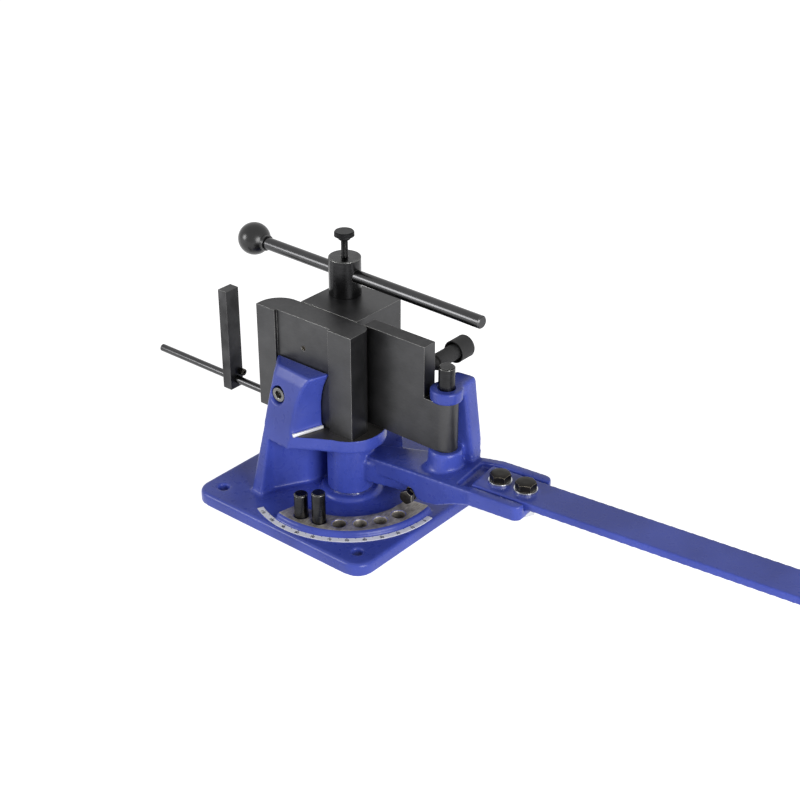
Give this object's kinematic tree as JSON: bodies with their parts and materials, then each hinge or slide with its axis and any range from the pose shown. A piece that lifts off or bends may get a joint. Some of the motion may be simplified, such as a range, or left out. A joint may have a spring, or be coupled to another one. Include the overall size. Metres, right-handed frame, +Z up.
{
  "type": "bench bar bender",
  "caption": "Hand-operated bench bender for flat bar and angles: cast base, clamping jaws, swing arm with a hinged bending wing and a flat-bar handle.",
  "frame": {"origin": "on the swing arm's pivot axis, at the underside of the base plate", "axes": "+X along the jaws towards the handle side, +Y to the back, +Z up along the pivot axis"},
  "size_m": [1.0651, 0.275, 0.327],
  "materials": {
    "blue_enamel": "glossy dark blue enamel over iron casting",
    "black_steel": "blackened ground steel, satin",
    "black_rod": "blackened turned steel, glossy with oil",
    "bright_steel": "turned steel, bright",
    "zinc": "zinc plated",
    "black_bolt": "blackened forged steel",
    "bronze": "turned bearing bronze",
    "black_plastic": "moulded black phenolic",
    "scale_white": "white lacquered strip"
  },
  "bodies": {
    "frame": {"base_casting": "blue_enamel", "scale_strip": "scale_white", "pivot_pin": "bright_steel", "thrust_washer": "bright_steel", "front_jaw": "black_steel", "jaw_screw": "black_bolt", "stop_rod": "black_rod", "stop_rod_nut": "black_bolt"},
    "stop_pin_a": {"stop_pin_a": "black_rod"},
    "stop_pin_b": {"stop_pin_b": "black_rod"},
    "arm": {"swing_arm": "blue_enamel", "hub_bushes": "bronze", "hinge_pin": "black_rod", "handle_bar": "blue_enamel", "bar_bolts": "black_bolt", "bar_washers": "zinc", "bar_nuts": "zinc", "stop_bolt_nut": "black_bolt"},
    "stop_bolt": {"stop_bolt": "black_bolt"},
    "wing": {"bending_wing": "black_steel"},
    "wing_screw": {"wing_screw": "black_rod", "wing_knob": "black_rod"},
    "spindle": {"clamp_spindle": "black_rod"},
    "block": {"clamp_block": "black_steel"},
    "lever": {"lever_rod": "black_rod", "lever_ball": "black_plastic"},
    "lock_screw": {"rod_lock_screw": "black_rod"},
    "stop_bar": {"stop_bar": "black_steel", "stop_bar_screw": "black_bolt"}
  },
  "joints": [
    {"name": "arm_swing", "type": "hinge", "parent": "frame", "child": "arm", "pos_m": [0, 0, 0.04], "axis": [0, 0, 1], "range_deg": [-56, 12]},
    {"name": "wing_pivot", "type": "hinge", "parent": "arm", "child": "wing", "pos_m": [0.132, 0.0219, 0.15], "axis": [0, 0, 1], "range_deg": [-9.5, 2.5]},
    {"name": "stop_bolt_travel", "type": "slide", "parent": "arm", "child": "stop_bolt", "axis": [0.1054, -0.9944, 0], "range_m": [-0.004, 0]},
    {"name": "wing_screw_travel", "type": "slide", "parent": "wing", "child": "wing_screw", "axis": [0, 1, 0], "range_m": [0, 0.01]},
    {"name": "stop_pin_a_lift", "type": "slide", "parent": "frame", "child": "stop_pin_a", "axis": [0, 0, 1], "range_m": [0, 0.035]},
    {"name": "stop_pin_b_lift", "type": "slide", "parent": "frame", "child": "stop_pin_b", "axis": [0, 0, 1], "range_m": [0, 0.035]},
    {"name": "spindle_turn", "type": "hinge", "parent": "frame", "child": "spindle", "pos_m": [-0.058, 0.061, 0.2], "axis": [0, 0, 1], "range_deg": [0, 60]},
    {"name": "block_travel", "type": "slide", "parent": "frame", "child": "block", "axis": [0, 1, 0], "range_m": [0, 0.004]},
    {"name": "lever_slide", "type": "slide", "parent": "spindle", "child": "lever", "axis": [0.9997, -0.0244, 0], "range_m": [-0.1, 0.11]},
    {"name": "lock_screw_travel", "type": "slide", "parent": "spindle", "child": "lock_screw", "axis": [0, 0, 1], "range_m": [0, 0.006]},
    {"name": "stop_bar_slide", "type": "slide", "parent": "frame", "child": "stop_bar", "axis": [1, 0, 0], "range_m": [-0.105, 0.05]}
  ],
  "couplings": [
    {"joint": "wing_pivot", "follows": "arm_swing", "ratio": 0.16},
    {"joint": "block_travel", "follows": "spindle_turn", "m_per_rad": 0.0038197}
  ]
}
